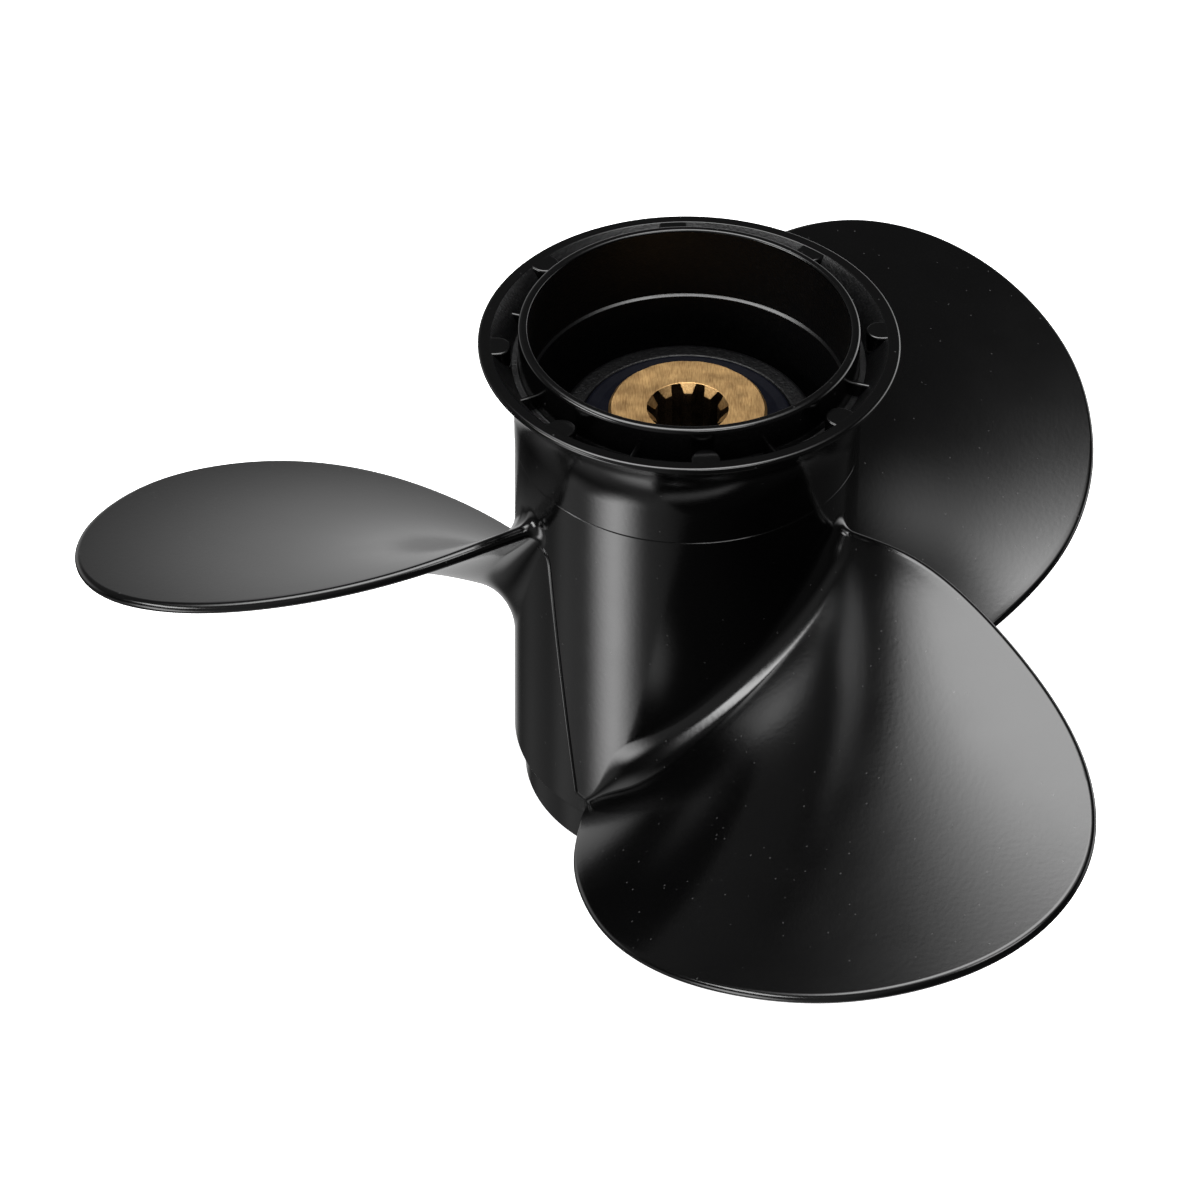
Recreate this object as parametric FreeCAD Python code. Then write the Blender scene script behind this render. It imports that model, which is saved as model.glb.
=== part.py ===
import FreeCAD, Part

# Three-bladed, right-hand outboard propeller with exhaust through the hub.
#
# The object is one aluminium die casting, a rubber cushion bush pressed into it and a bronze
# splined sleeve bonded inside the rubber. The casting is written out as its named regions:
# barrel, collar, aft tube, diffuser flare, inner hub, webs and blades.
#
# Frame: millimetres, origin on the shaft axis at the sleeve's forward face, where the thrust
# washer seats. +Z runs aft along the shaft, so the flared exhaust end is the top.
import math
import os

from FreeCAD import Vector

# Heights along the shaft
RIM_Z = -22.8
COLLAR_TOP_Z = -12.8
SLEEVE_LENGTH = 66.0
PARTING_Z = 60.1
LIP_Z = 82.3
TUBE_TOP_Z = 85.2

# Outer hub
BORE_R = 29.0
COLLAR_R = 31.3
BARREL_FRONT_R = 33.3
BARREL_AFT_R = 32.3
RIM_CHAMFER = 0.4

# Aft tube inside the diffuser
TUBE_R = 31.4
TUBE_MOUTH_R = 29.6
TUBE_STEP_Z = 70.5
TUBE_ROUND = 0.8

# Diffuser flare: a tangent arc from the barrel out to the lip
FLARE_R = 32.4
FLARE_START_Z = 66.8
FLARE_ARC_R = 20.0
FLARE_WALL = 2.2
LIP_R = 38.8
LIP_THICK = 1.35
POCKET_FLOOR_Z = 76.8

# Pads and ribs in the flare's annular pocket
PAD_COUNT = 8
PAD_FIRST_DEG = 5.5
PAD_WIDTH = 5.3
PAD_INNER_R = 32.7
RIB_THICK = 1.2
RIB_DROP = 2.5

# Inner hub, carried by three webs between which the exhaust passes
INNER_HUB_R = 24.0
INNER_HUB_FRONT_Z = 1.5
INNER_HUB_AFT_Z = 62.9
INNER_HUB_ROUND = 1.2
SHOULDER_R = 18.2
SHOULDER_TOP_Z = 3.0
WEB_THICK = 5.0
WEB_FRONT_Z = 3.0
WEB_AFT_Z = 50.0
WEB_FIRST_DEG = 45.0

# Rubber cushion bush, with a running gap to the casting's bore
BUSH_R = 19.9
BUSH_GAP = 0.05
BUSH_FRONT_Z = 3.3
BUSH_AFT_Z = 63.4
BUSH_ROUND = 0.8

# Bronze sleeve with a ten-tooth internal spline and a plain thrust bore
SLEEVE_R = 14.8
SLEEVE_CHAMFER = 0.5
SPLINE_TEETH = 10
SPLINE_MAJOR_R = 7.6
SPLINE_MINOR_R = 6.05
TOOTH_ROOT_WIDTH = 3.05
TOOTH_TIP_WIDTH = 1.5
SPLINE_LEAD_IN = 0.8
TOOTH_OVERLAP = 1.0
THRUST_BORE_R = 8.5
THRUST_BORE_LENGTH = 8.0

# Blades: a right-hand helicoid whose pitch falls towards the tip
BLADE_COUNT = 3
BLADE_STEP_DEG = 120.0
PITCH_AT_AXIS = 254.2
PITCH_LOSS_PER_MM = 0.531
HELIX_DEG = -75.0
HELIX_Z = 22.0
EDGE_THICK = 1.7
ROOT_THICK = 8.5
TIP_THICK = 2.3
CROWN_POWER = 0.75
CROWN_LEAN_DEG = 13.0
CROWN_SPREAD_ROOT_DEG = 34.0
CROWN_SPREAD_TIP_DEG = 14.0
TIP_R = 117.5
ROOT_FILLET = 5.0
BLADE_START_R = 26.0
# Plan outline as (radius, degrees), from the trailing edge's root round the tip to the leading
# edge's root
BLADE_OUTLINE = [
    (26.0, -31.0), (36.0, -29.8), (47.7, -29.4), (63.5, -32.6), (78.0, -36.6), (90.8, -40.4),
    (102.0, -44.6), (110.7, -49.4), (115.9, -55.0), (TIP_R, -61.8), (115.2, -69.3),
    (110.1, -76.9), (103.1, -83.8), (95.8, -89.8), (82.5, -98.4), (69.4, -105.0),
    (56.6, -110.9), (45.8, -115.6), (36.0, -121.0), (26.0, -127.5),
]

# Parting ridge left by the die along the barrel, from one blade's trailing edge to the next
# blade's leading edge, as (degrees, height)
RIDGE_PATH = [
    (-153.0, 44.8), (-145.6, 46.8), (-142.6, 46.6), (-141.1, 43.8), (-137.8, 31.8),
    (-132.7, 12.0), (-127.5, -8.1),
]
RIDGE_FOOT = (-122.5, -9.4)
RIDGE_WIDTH = 1.1
RIDGE_HEIGHT = 0.4

# Sizes of the construction, larger than the shapes that are cut from it
SLAB_END_R = 120.5
SLAB_RADII = 8
SLAB_FROM_DEG = -140.0
SLAB_TO_DEG = -26.0
SLAB_ANGLES = 13
CORE_OVERRUN = 20.0
EDGE_SAMPLES = 5
CLOSE = 0.02
FAR = 200.0
Z_AXIS = Vector(0, 0, 1)
ORIGIN = Vector(0, 0, 0)


def polar(radius, degrees, z=0.0):
    angle = math.radians(degrees)
    return Vector(radius * math.cos(angle), radius * math.sin(angle), z)


def line(a, b):
    return Part.LineSegment(a, b).toShape()


def arc(a, through, b):
    return Part.Arc(a, through, b).toShape()


def revolve(edges):
    """A solid of revolution from the edges of a closed profile in the XZ plane."""
    face = Part.Face(Part.Wire(edges))
    return face.revolve(ORIGIN, Z_AXIS, 360)


def profile(points):
    """Straight edges round a closed list of (radius, height) points."""
    corners = [Vector(r, 0, z) for r, z in points]
    return [line(a, b) for a, b in zip(corners, corners[1:] + corners[:1])]


def ring(inner, outer, low, high):
    return revolve(profile([(inner, low), (outer, low), (outer, high), (inner, high)]))


def spin(shape, degrees):
    turned = shape.copy()
    turned.rotate(ORIGIN, Z_AXIS, degrees)
    return turned


def barrel_radius(z):
    """The barrel's outer surface is a slight cone, wider forward."""
    share = (z - COLLAR_TOP_Z) / (PARTING_Z - COLLAR_TOP_Z)
    return BARREL_FRONT_R + share * (BARREL_AFT_R - BARREL_FRONT_R)


# ---- outer hub ----

def front_collar():
    low, high = RIM_Z, COLLAR_TOP_Z
    return revolve(profile([
        (BORE_R + RIM_CHAMFER, low), (COLLAR_R - RIM_CHAMFER, low),
        (COLLAR_R, low + RIM_CHAMFER), (COLLAR_R, high),
        (BORE_R, high), (BORE_R, low + RIM_CHAMFER),
    ]))


def barrel():
    return revolve(profile([
        (BORE_R, COLLAR_TOP_Z), (BARREL_FRONT_R - RIM_CHAMFER, COLLAR_TOP_Z),
        (barrel_radius(COLLAR_TOP_Z + RIM_CHAMFER), COLLAR_TOP_Z + RIM_CHAMFER),
        (BARREL_AFT_R, PARTING_Z), (BORE_R, PARTING_Z),
    ]))


def aft_tube():
    rounded = TUBE_ROUND
    diagonal = rounded * (1 - math.sqrt(0.5))
    top = TUBE_TOP_Z
    edges = profile([
        (BORE_R, PARTING_Z), (TUBE_R, PARTING_Z), (TUBE_R, top - rounded),
        (TUBE_R - rounded, top), (TUBE_MOUTH_R, top), (TUBE_MOUTH_R, TUBE_STEP_Z),
        (BORE_R, TUBE_STEP_Z - (TUBE_MOUTH_R - BORE_R)),
    ])
    edges[2] = arc(
        Vector(TUBE_R, 0, top - rounded),
        Vector(TUBE_R - diagonal, 0, top - diagonal),
        Vector(TUBE_R - rounded, 0, top),
    )
    return revolve(edges)


def flare_radius(z, offset=0.0):
    """Radius of the flare's concave outer surface, or of one offset inwards from it."""
    reach = FLARE_ARC_R + offset
    rise = z - FLARE_START_Z
    return FLARE_R + FLARE_ARC_R - math.sqrt(reach * reach - rise * rise)


def diffuser_flare():
    lip_low = LIP_Z - LIP_THICK
    half = LIP_THICK / 2
    outer = LIP_R - half
    outer_low = flare_radius(lip_low)
    middle_low = (FLARE_START_Z + lip_low) / 2
    middle_in = (POCKET_FLOOR_Z + LIP_Z) / 2
    pocket_top = Vector(flare_radius(LIP_Z, FLARE_WALL), 0, LIP_Z)
    pocket_low = Vector(flare_radius(POCKET_FLOOR_Z, FLARE_WALL), 0, POCKET_FLOOR_Z)
    start = Vector(FLARE_R, 0, FLARE_START_Z)
    return revolve([
        line(Vector(TUBE_R, 0, PARTING_Z), Vector(FLARE_R, 0, PARTING_Z)),
        line(Vector(FLARE_R, 0, PARTING_Z), start),
        arc(start, Vector(flare_radius(middle_low), 0, middle_low), Vector(outer_low, 0, lip_low)),
        arc(
            Vector(outer_low, 0, lip_low), Vector(LIP_R, 0, LIP_Z - half), Vector(outer, 0, LIP_Z)
        ),
        line(Vector(outer, 0, LIP_Z), pocket_top),
        arc(pocket_top, Vector(flare_radius(middle_in, FLARE_WALL), 0, middle_in), pocket_low),
        line(pocket_low, Vector(TUBE_R, 0, POCKET_FLOOR_Z)),
        line(Vector(TUBE_R, 0, POCKET_FLOOR_Z), Vector(TUBE_R, 0, PARTING_Z)),
    ])


def pocket_pieces(blank, first_deg, flare):
    """Copies of one blank round the pocket, each cut to the pocket's walls."""
    step = 360.0 / PAD_COUNT
    cut = blank.cut(flare).cut(ring(0, TUBE_R, RIM_Z, TUBE_TOP_Z)).common(
        ring(0, (TUBE_R + LIP_R) / 2 + PAD_WIDTH / 2, POCKET_FLOOR_Z, LIP_Z)
    )
    piece = max(cut.Solids, key=lambda solid: solid.Volume)
    return Part.makeCompound([spin(piece, first_deg + step * n) for n in range(PAD_COUNT)])


def flange_pads(flare):
    """Flat pads level with the lip, each with a rounded inner end."""
    half = PAD_WIDTH / 2
    depth = LIP_Z - POCKET_FLOOR_Z
    nose = Part.makeCylinder(half, depth, Vector(PAD_INNER_R + half, 0, POCKET_FLOOR_Z))
    corner = Vector(PAD_INNER_R + half, -half, POCKET_FLOOR_Z)
    shank = Part.makeBox(LIP_R - half - corner.x, PAD_WIDTH, depth, corner)
    return pocket_pieces(nose.fuse(shank).removeSplitter(), PAD_FIRST_DEG, flare)


def flange_ribs(flare):
    """Thin radial ribs midway between the pads, lower than the lip."""
    corner = Vector(TUBE_R - 1.0, -RIB_THICK / 2, POCKET_FLOOR_Z)
    depth = LIP_Z - RIB_DROP - POCKET_FLOOR_Z
    blank = Part.makeBox(LIP_R - TUBE_R, RIB_THICK, depth, corner)
    return pocket_pieces(blank, PAD_FIRST_DEG + 180.0 / PAD_COUNT, flare)


# ---- inner hub ----

def inner_hub():
    bore = BUSH_R + BUSH_GAP
    rounded = INNER_HUB_ROUND
    diagonal = rounded * (1 - math.sqrt(0.5))
    edges = profile([
        (SHOULDER_R, INNER_HUB_FRONT_Z), (INNER_HUB_R, INNER_HUB_FRONT_Z),
        (INNER_HUB_R, INNER_HUB_AFT_Z - rounded), (INNER_HUB_R - rounded, INNER_HUB_AFT_Z),
        (bore, INNER_HUB_AFT_Z), (bore, SHOULDER_TOP_Z), (SHOULDER_R, SHOULDER_TOP_Z),
    ])
    edges[2] = arc(
        Vector(INNER_HUB_R, 0, INNER_HUB_AFT_Z - rounded),
        Vector(INNER_HUB_R - diagonal, 0, INNER_HUB_AFT_Z - diagonal),
        Vector(INNER_HUB_R - rounded, 0, INNER_HUB_AFT_Z),
    )
    return revolve(edges)


def hub_web(degrees):
    """A radial plate between the inner hub and the barrel's bore."""
    blank = Part.makeBox(
        BORE_R, WEB_THICK, WEB_AFT_Z - WEB_FRONT_Z, Vector(0, -WEB_THICK / 2, WEB_FRONT_Z)
    )
    return spin(blank.common(ring(INNER_HUB_R, BORE_R, WEB_FRONT_Z, WEB_AFT_Z)), degrees)


# ---- bush and sleeve ----

def cushion_bush():
    ends = BUSH_ROUND
    return revolve(profile([
        (SLEEVE_R, BUSH_FRONT_Z), (BUSH_R - ends, BUSH_FRONT_Z), (BUSH_R, BUSH_FRONT_Z + ends),
        (BUSH_R, BUSH_AFT_Z - ends), (BUSH_R - ends, BUSH_AFT_Z), (SLEEVE_R, BUSH_AFT_Z),
    ]))


def spline_tooth():
    """One tapered tooth as a prism that overlaps the sleeve's wall slightly at its root."""
    root = TOOTH_ROOT_WIDTH / 2
    tip = TOOTH_TIP_WIDTH / 2
    buried = Vector(TOOTH_OVERLAP, 0, 0)
    crest = math.sqrt(SPLINE_MINOR_R ** 2 - tip ** 2)
    low = THRUST_BORE_LENGTH
    left_tip = Vector(crest, -tip, low)
    right_tip = Vector(crest, tip, low)
    left_root = Vector(SPLINE_MAJOR_R, -root, low)
    right_root = Vector(SPLINE_MAJOR_R, root, low)
    wire = Part.Wire([
        arc(left_tip, Vector(SPLINE_MINOR_R, 0, low), right_tip),
        line(right_tip, right_root),
        line(right_root, right_root + buried),
        line(right_root + buried, left_root + buried),
        line(left_root + buried, left_root),
        line(left_root, left_tip),
    ])
    return Part.Face(wire).extrude(Vector(0, 0, SLEEVE_LENGTH - low))


def splined_sleeve():
    top = SLEEVE_LENGTH
    edge = SLEEVE_CHAMFER
    body = revolve(profile([
        (THRUST_BORE_R, 0), (SLEEVE_R - edge, 0), (SLEEVE_R, edge), (SLEEVE_R, top - edge),
        (SLEEVE_R - edge, top), (SPLINE_MAJOR_R, top), (SPLINE_MAJOR_R, THRUST_BORE_LENGTH),
        (THRUST_BORE_R, THRUST_BORE_LENGTH),
    ]))
    tooth = spline_tooth()
    step = 360.0 / SPLINE_TEETH
    teeth = [spin(tooth, 90.0 + step * n) for n in range(SPLINE_TEETH)]
    lead_in = Part.makeCone(
        SPLINE_MAJOR_R - 2 * SPLINE_LEAD_IN, SPLINE_MAJOR_R, 2 * SPLINE_LEAD_IN,
        Vector(0, 0, top - 2 * SPLINE_LEAD_IN),
    )
    return body.fuse(teeth).cut(lead_in).removeSplitter()


# ---- blades ----

def pressure_face(radius, degrees):
    """Height of the blade's aft face, a helicoid."""
    pitch = PITCH_AT_AXIS - PITCH_LOSS_PER_MM * radius
    return HELIX_Z + pitch * (degrees - HELIX_DEG) / 360.0


def blade_depth(radius, degrees):
    """Axial depth of the blade: thick at the root and in mid chord, thin at its edges."""
    out = (radius - BLADE_START_R) / (TIP_R - BLADE_START_R)
    middle = HELIX_DEG + CROWN_LEAN_DEG * out
    spread = CROWN_SPREAD_ROOT_DEG + (CROWN_SPREAD_TIP_DEG - CROWN_SPREAD_ROOT_DEG) * out
    crown = ROOT_THICK + (TIP_THICK - ROOT_THICK) * min(out, 1.0) ** CROWN_POWER
    chordwise = math.exp(-(((degrees - middle) / spread) ** 2))
    thickness = EDGE_THICK + (crown - EDGE_THICK) * chordwise
    slope = (PITCH_AT_AXIS - PITCH_LOSS_PER_MM * radius) / (2 * math.pi * radius)
    return thickness * math.sqrt(1 + slope * slope)


def spread_out(first, last, count):
    """Evenly spaced values from first to last."""
    return [first + (last - first) * n / (count - 1) for n in range(count)]


def helicoid_face(radii, angles, height):
    surface = Part.BSplineSurface()
    surface.interpolate([[polar(r, a, height(r, a)) for a in angles] for r in radii])
    return surface.toShape()


def blade_slab():
    """A thick helicoidal sheet, larger than the blade's outline."""
    radii = spread_out(BLADE_START_R, SLAB_END_R, SLAB_RADII)
    angles = spread_out(SLAB_FROM_DEG, SLAB_TO_DEG, SLAB_ANGLES)
    upper = helicoid_face(radii, angles, pressure_face)
    lower = helicoid_face(radii, angles, lambda r, a: pressure_face(r, a) - blade_depth(r, a))
    sides = [Part.makeRuledSurface(a, b) for a, b in zip(upper.Edges, lower.Edges)]
    shell = Part.makeShell([upper, lower] + sides)
    shell.sewShape()
    slab = Part.makeSolid(shell)
    if slab.Volume < 0:
        slab.reverse()
    return slab


def blade_prism():
    """The plan outline, drawn up through the whole height of the blade."""
    outline = Part.BSplineCurve()
    points = [polar(r, a, -FAR / 4) for r, a in BLADE_OUTLINE]
    outline.interpolate(points)
    wire = Part.Wire([outline.toShape(), line(points[-1], points[0])])
    return Part.Face(wire).extrude(Vector(0, 0, FAR))


def long_barrel():
    """The barrel's cone run on past both ends, so that root fillets close round the blade."""
    low = COLLAR_TOP_Z - CORE_OVERRUN
    high = PARTING_Z + CORE_OVERRUN
    return Part.makeCone(barrel_radius(low), barrel_radius(high), high - low, Vector(0, 0, low))


def edges_on_cone(shape):
    """Edges where the blade meets the barrel's cone, without the cone's own ends and seam."""
    ends = (COLLAR_TOP_Z - CORE_OVERRUN, PARTING_Z + CORE_OVERRUN)
    found = []
    for edge in shape.Edges:
        first, last = edge.ParameterRange
        points = [edge.valueAt(at) for at in spread_out(first, last, EDGE_SAMPLES)]
        on_cone = all(abs(math.hypot(p.x, p.y) - barrel_radius(p.z)) < CLOSE for p in points)
        at_end = any(abs(v.Z - z) < CLOSE for v in edge.Vertexes for z in ends)
        if on_cone and not at_end:
            found.append(edge)
    return found


def blade():
    core = long_barrel()
    joined = core.fuse(blade_slab().common(blade_prism()))
    blended = joined.makeFillet(ROOT_FILLET, edges_on_cone(joined))
    return blended.cut(core).common(ring(0, FAR, COLLAR_TOP_Z, LIP_Z))


# ---- parting ridges ----

def strip(path):
    """A narrow raised band along (degrees, height) points, lying on the barrel's cone."""
    middle = (path[0][0] + path[-1][0]) / 2
    flat = [
        Vector(FAR, barrel_radius(z) * math.sin(math.radians(a - middle)), z) for a, z in path
    ]
    half = RIDGE_WIDTH / 2
    sides = []
    for sign in (1, -1):
        points = []
        for n, point in enumerate(flat):
            along = flat[min(n + 1, len(flat) - 1)] - flat[max(n - 1, 0)]
            across = Vector(0, along.z, -along.y).normalize() * (half * sign)
            points.append(point + across)
        side = Part.BSplineCurve()
        side.interpolate(points)
        sides.append((points, side.toShape()))
    (left, left_edge), (right, right_edge) = sides
    wire = Part.Wire([left_edge, line(left[-1], right[-1]), right_edge, line(right[0], left[0])])
    band = Part.Face(wire).extrude(Vector(-FAR, 0, 0))
    return spin(band, middle)


def ridge_skin():
    """The thin layer on the barrel that the ridges fill."""
    low = COLLAR_TOP_Z
    high = PARTING_Z
    return revolve(profile([
        (barrel_radius(low), low), (barrel_radius(low) + RIDGE_HEIGHT, low),
        (barrel_radius(high) + RIDGE_HEIGHT, high), (barrel_radius(high), high),
    ]))


def parting_ridge(blades):
    band = strip(RIDGE_PATH).fuse(strip([RIDGE_PATH[-1], RIDGE_FOOT]))
    ridge = band.common(ridge_skin()).cut(blades)
    return max(ridge.Solids, key=lambda solid: solid.Volume)


def main():
    flare = diffuser_flare()
    nodes = {
        "front_collar": front_collar(),
        "barrel": barrel(),
        "aft_tube": aft_tube(),
        "diffuser_flare": flare,
        "flange_pads": flange_pads(flare),
        "flange_ribs": flange_ribs(flare),
        "inner_hub": inner_hub(),
        "cushion_bush": cushion_bush(),
        "splined_sleeve": splined_sleeve(),
    }
    turns = [BLADE_STEP_DEG * n for n in range(BLADE_COUNT)]
    blades = [spin(blade(), turn) for turn in turns]
    ridge = parting_ridge(blades)
    for n, turn in enumerate(turns):
        nodes["blade_%d" % (n + 1)] = blades[n]
        nodes["parting_ridge_%d" % (n + 1)] = spin(ridge, turn)
        nodes["hub_web_%d" % (n + 1)] = hub_web(WEB_FIRST_DEG + turn)
    os.makedirs("parts", exist_ok=True)
    for name, shape in nodes.items():
        shape.exportStep("parts/%s.step" % name)


main()
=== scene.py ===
import math

import bpy
import numpy as np
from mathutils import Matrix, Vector


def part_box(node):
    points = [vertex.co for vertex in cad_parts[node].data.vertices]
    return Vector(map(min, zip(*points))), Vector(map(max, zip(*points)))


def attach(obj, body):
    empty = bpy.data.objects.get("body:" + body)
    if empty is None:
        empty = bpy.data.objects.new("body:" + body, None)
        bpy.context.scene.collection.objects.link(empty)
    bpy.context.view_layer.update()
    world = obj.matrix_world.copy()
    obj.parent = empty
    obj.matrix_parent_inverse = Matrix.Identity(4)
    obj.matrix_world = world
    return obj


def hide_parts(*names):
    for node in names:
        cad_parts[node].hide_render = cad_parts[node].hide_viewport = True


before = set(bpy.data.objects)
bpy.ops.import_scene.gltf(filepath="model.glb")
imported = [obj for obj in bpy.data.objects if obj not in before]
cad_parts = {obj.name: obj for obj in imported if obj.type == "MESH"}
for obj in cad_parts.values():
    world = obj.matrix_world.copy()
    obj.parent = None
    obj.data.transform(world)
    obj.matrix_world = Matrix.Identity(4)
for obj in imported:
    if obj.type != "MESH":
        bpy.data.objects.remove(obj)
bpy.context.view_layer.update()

MM = 0.001
TAU = 2 * math.pi

# Camera: where it stands, the point it looks at, and its lens on a 36 mm sensor
CAMERA_POSITION = Vector((0.0, -0.5775, 0.5174))
CAMERA_AIM = Vector((-0.01634, 0.0, 0.01826))
LENS_MM = 118.0
SENSOR_MM = 36.0


# ---- sizes read from the frame, in millimetres ----

def bottom(node):
    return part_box(node)[0].z / MM


def top(node):
    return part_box(node)[1].z / MM


def outer_radius(node):
    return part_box(node)[1].x / MM


RIM_Z = bottom("front_collar")
COLLAR_TOP_Z = top("front_collar")
PARTING_Z = top("barrel")
LIP_Z = top("diffuser_flare")
TUBE_TOP_Z = top("aft_tube")
COLLAR_R = outer_radius("front_collar")
BARREL_FRONT_R = outer_radius("barrel")
TUBE_R = outer_radius("aft_tube")
LIP_R = outer_radius("diffuser_flare")
INNER_HUB_R = outer_radius("inner_hub")
INNER_HUB_FRONT_Z = bottom("inner_hub")
INNER_HUB_AFT_Z = top("inner_hub")
BUSH_R = outer_radius("cushion_bush")
BUSH_FRONT_Z = bottom("cushion_bush")
BUSH_AFT_Z = top("cushion_bush")
SLEEVE_R = outer_radius("splined_sleeve")
SLEEVE_TOP_Z = top("splined_sleeve")
POCKET_FLOOR_Z = bottom("flange_pads")
PAD_TOP_Z = top("flange_pads")
RIB_TOP_Z = top("flange_ribs")
WEB_FRONT_Z = bottom("hub_web_1")
WEB_AFT_Z = top("hub_web_1")

# ---- sizes the boxes don't hold ----

BORE_R = 29.0
BARREL_AFT_R = 32.3
TUBE_MOUTH_R = 29.6
TUBE_STEP_Z = 70.5
FLARE_R = 32.4
FLARE_START_Z = 66.8
FLARE_ARC_R = 20.0
FLARE_WALL = 2.2
LIP_THICK = 1.35
SHOULDER_R = 18.2
SHOULDER_TOP_Z = 3.0
THRUST_BORE_R = 8.5
THRUST_BORE_LENGTH = 8.0
SLEEVE_CHAMFER = 0.5
SPLINE_TEETH = 10
SPLINE_MAJOR_R = 7.6
SPLINE_MINOR_R = 6.05
TOOTH_ROOT_WIDTH = 3.05
TOOTH_TIP_WIDTH = 1.5

PAD_COUNT = 8
PAD_FIRST_DEG = 5.5
PAD_WIDTH = 5.3
PAD_INNER_R = 32.7
PAD_OUTER_R = LIP_R - 1.2
PAD_BEVEL = 0.4
# How far the looks' pads stay under the CAD's
PAD_LOWERED = 0.06
RIB_THICK = 1.2
RIB_TOP_SHARE = 0.8
WEB_THICK = 5.0
WEB_ROUND = 1.2
WEB_FILLET = 1.6
WEB_FIRST_DEG = 45.0

# The rubber's outside stands this far inside the casting's bore, so that the two never touch
BOND_GAP = 0.03
# How far the rubber's aft face is dished
BUSH_DISH = 0.35
# Depth and half width of the groove where the barrel's and the flare's dies met
SEAM = 0.18

BLADE_COUNT = 3
BLADE_STEP_DEG = 120.0
PITCH_AT_AXIS = 254.2
PITCH_LOSS_PER_MM = 0.531
HELIX_DEG = -75.0
HELIX_Z = 22.0
EDGE_THICK = 1.7
ROOT_THICK = 8.5
TIP_THICK = 2.3
CROWN_POWER = 0.75
CROWN_LEAN_DEG = 13.0
CROWN_SPREAD_ROOT_DEG = 34.0
CROWN_SPREAD_TIP_DEG = 14.0
BLADE_START_R = 26.0
TIP_R = 117.5
# Plan outline as (radius, degrees), from the trailing edge's root round the tip to the leading
# edge's root
BLADE_OUTLINE = [
    (26.0, -31.0), (36.0, -29.8), (47.7, -29.4), (63.5, -32.6), (78.0, -36.6), (90.8, -40.4),
    (102.0, -44.6), (110.7, -49.4), (115.9, -55.0), (TIP_R, -61.8), (115.2, -69.3),
    (110.1, -76.9), (103.1, -83.8), (95.8, -89.8), (82.5, -98.4), (69.4, -105.0),
    (56.6, -110.9), (45.8, -115.6), (36.0, -121.0), (26.0, -127.5),
]
# Parting ridge as (degrees, height, radius of the bend), and its width at each end
RIDGE_PATH = [
    (-153.0, 44.8, 0.0), (-141.9, 47.4, 2.2), (-127.5, -8.1, 0.8), (-122.0, -9.5, 0.0),
]
RIDGE_WIDTHS = (1.45, 0.95)
# Across the ridge: share of its width from the middle, and height; the last two lie in the barrel
RIDGE_SHAPE = [
    (0.5, 0.0), (0.33, 0.14), (0.16, 0.28), (0.08, 0.335), (0.02, 0.32), (-0.1, 0.27),
    (-0.3, 0.2), (-0.36, 0.17), (-0.43, 0.085), (-0.5, 0.0), (-0.5, -0.6), (0.5, -0.6),
]


def barrel_radius(z):
    share = (z - COLLAR_TOP_Z) / (PARTING_Z - COLLAR_TOP_Z)
    return BARREL_FRONT_R + share * (BARREL_AFT_R - BARREL_FRONT_R)


def smooth(low, high, value):
    share = np.clip((value - low) / (high - low), 0, 1)
    return share * share * (3 - 2 * share)


def unit(vectors):
    length = np.linalg.norm(vectors, axis=-1, keepdims=True)
    return vectors / np.maximum(length, 1e-12)


def spline_through(points, count):
    """count points, evenly spaced in chord length, on a smooth curve through the given ones."""
    points = np.array(points, float)
    chord = np.linalg.norm(np.diff(points, axis=0), axis=1)
    at = np.concatenate([[0], np.cumsum(chord)])
    last = len(points) - 1
    matrix = np.zeros((last + 1, last + 1))
    target = np.zeros_like(points)
    matrix[0, 0] = matrix[last, last] = 1
    for n in range(1, last):
        matrix[n, n - 1] = chord[n - 1]
        matrix[n, n] = 2 * (chord[n - 1] + chord[n])
        matrix[n, n + 1] = chord[n]
        rise = (points[n + 1] - points[n]) / chord[n] - (points[n] - points[n - 1]) / chord[n - 1]
        target[n] = 6 * rise
    bend = np.linalg.solve(matrix, target)
    place = np.linspace(0, at[-1], count)
    n = np.clip(np.searchsorted(at, place, side="right") - 1, 0, last - 1)
    step = chord[n][:, None]
    b = (place - at[n])[:, None] / step
    a = 1 - b
    bow = ((a ** 3 - a) * bend[n] + (b ** 3 - b) * bend[n + 1]) * step ** 2 / 6
    return a * points[n] + b * points[n + 1] + bow


def evenly(points, count):
    """count points spaced evenly along straight runs between the given ones."""
    run = np.linalg.norm(np.diff(points, axis=0), axis=1)
    at = np.concatenate([[0], np.cumsum(run)])
    place = np.linspace(0, at[-1], count)
    return np.stack([np.interp(place, at, axis) for axis in points.T], axis=1)


# ---- meshes ----

def grid_normals(points, wrap_rows, wrap_columns):
    """Normals of a grid of points, by differences between neighbours."""
    def difference(axis, wrap):
        if wrap:
            return np.roll(points, -1, axis) - np.roll(points, 1, axis)
        moved = np.swapaxes(points, 0, axis)
        ahead = np.concatenate([moved[1:], moved[-1:]])
        behind = np.concatenate([moved[:1], moved[:-1]])
        return np.swapaxes(ahead - behind, 0, axis)
    return unit(np.cross(difference(0, wrap_rows), difference(1, wrap_columns)))


def grid_faces(rows, columns, wrap_rows, wrap_columns):
    faces = []
    for i in range(rows if wrap_rows else rows - 1):
        for j in range(columns if wrap_columns else columns - 1):
            above = (i + 1) % rows
            beside = (j + 1) % columns
            faces.append((
                i * columns + j, above * columns + j,
                above * columns + beside, i * columns + beside,
            ))
    return faces


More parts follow.
